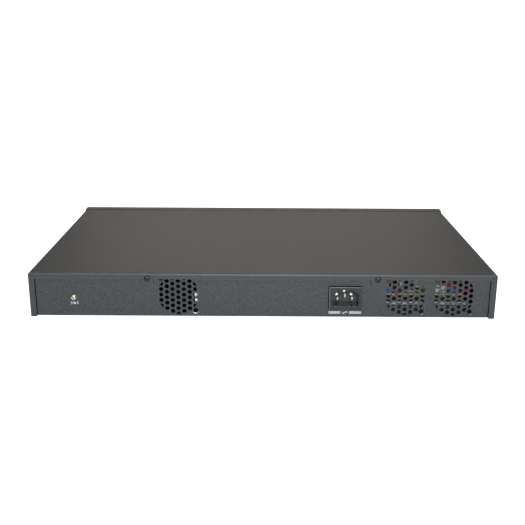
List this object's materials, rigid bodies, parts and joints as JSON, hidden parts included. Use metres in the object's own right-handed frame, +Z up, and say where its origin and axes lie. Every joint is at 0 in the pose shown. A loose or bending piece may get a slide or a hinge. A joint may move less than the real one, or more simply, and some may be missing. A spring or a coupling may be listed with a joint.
{
  "type": "rackmount network switch",
  "caption": "Low flat steel network switch for an equipment rack, with honeycomb rear vents, a mains inlet, a cooling fan and rows of front ports.",
  "frame": {"origin": "under the middle of the whole object, at the level it rests on", "axes": "+X to the right when the rear panel is looked at from behind, +Y from the rear panel to the ports, +Z up"},
  "size_m": [0.4412, 0.2722, 0.044],
  "materials": {
    "case_paint": "fine-textured dark grey powder coat",
    "bezel_plastic": "fine-grained charcoal moulding",
    "black_plastic": "moulded, slightly glossy",
    "black_steel": "black oxide",
    "nickel": "nickel plate",
    "tinned_steel": "tinned sheet",
    "green_board": "solder mask",
    "tan_board": "bare laminate edge",
    "milky_film": "translucent film",
    "white_nylon": "moulded nylon",
    "yellow_case": "moulded case",
    "blue_dip": "epoxy dip",
    "cream_tape": "winding tape",
    "ferrite": "sintered core",
    "black_sleeve": "shrink sleeve",
    "aluminium": "extruded",
    "brass": "turned",
    "red_wire": "insulation",
    "dark_red_wire": "insulation",
    "earth_wire": "yellow and green insulation",
    "black_wire": "insulation",
    "clear_acrylic": "moulded acrylic"
  },
  "bodies": {
    "chassis": {"top_cover": "case_paint", "base_tray": "case_paint", "front_bezel": "bezel_plastic", "inlet_housing": "black_plastic", "fan_frame": "black_plastic", "reset_switch": "black_plastic", "switch_chip": "black_plastic", "cover_screw_left": "black_steel", "cover_screw_right": "black_steel", "side_screw_left_1": "black_steel", "side_screw_left_2": "black_steel", "side_screw_right_1": "black_steel", "side_screw_right_2": "black_steel", "fan_screw_1": "black_steel", "fan_screw_2": "black_steel", "ground_screw": "nickel", "ground_washer": "nickel", "inlet_pin_live": "nickel", "inlet_pin_neutral": "nickel", "inlet_pin_earth": "nickel", "port_block_1": "tinned_steel", "port_block_2": "tinned_steel", "port_block_3": "tinned_steel", "console_jack": "tinned_steel", "module_cage": "tinned_steel", "board_standoff_1": "tinned_steel", "board_standoff_2": "tinned_steel", "board_standoff_3": "tinned_steel", "board_standoff_4": "tinned_steel", "main_board": "green_board", "supply_board": "tan_board", "supply_insulator": "milky_film", "fan_plug": "white_nylon", "spare_fan_header": "white_nylon", "mains_terminal": "white_nylon", "line_filter_capacitor": "yellow_case", "safety_capacitor_1": "blue_dip", "safety_capacitor_2": "blue_dip", "safety_capacitor_3": "blue_dip", "transformer_winding": "cream_tape", "transformer_core": "ferrite", "line_capacitor": "black_sleeve", "bulk_capacitor": "black_sleeve", "chip_heatsink": "aluminium", "supply_heatsink": "aluminium", "supply_standoff_1": "brass", "supply_standoff_2": "brass", "supply_standoff_3": "brass", "supply_standoff_4": "brass", "mains_wire_live": "red_wire", "fan_wire_red": "red_wire", "mains_wire_neutral": "dark_red_wire", "supply_harness": "dark_red_wire", "earth_wire": "earth_wire", "fan_wire_black": "black_wire", "light_pipe": "clear_acrylic"},
    "rotor": {"fan_rotor": "black_plastic"},
    "button": {"reset_button": "black_plastic"}
  },
  "joints": [
    {"name": "fan_spin", "type": "hinge", "parent": "chassis", "child": "rotor", "pos_m": [-0.0796, -0.1281, 0.0223], "axis": [0, 1, 0], "continuous": true},
    {"name": "reset_press", "type": "slide", "parent": "chassis", "child": "button", "axis": [0, -1, 0], "range_m": [0, 0.0008], "stiffness_N_per_m": 600, "springref_m": -0.0008}
  ]
}
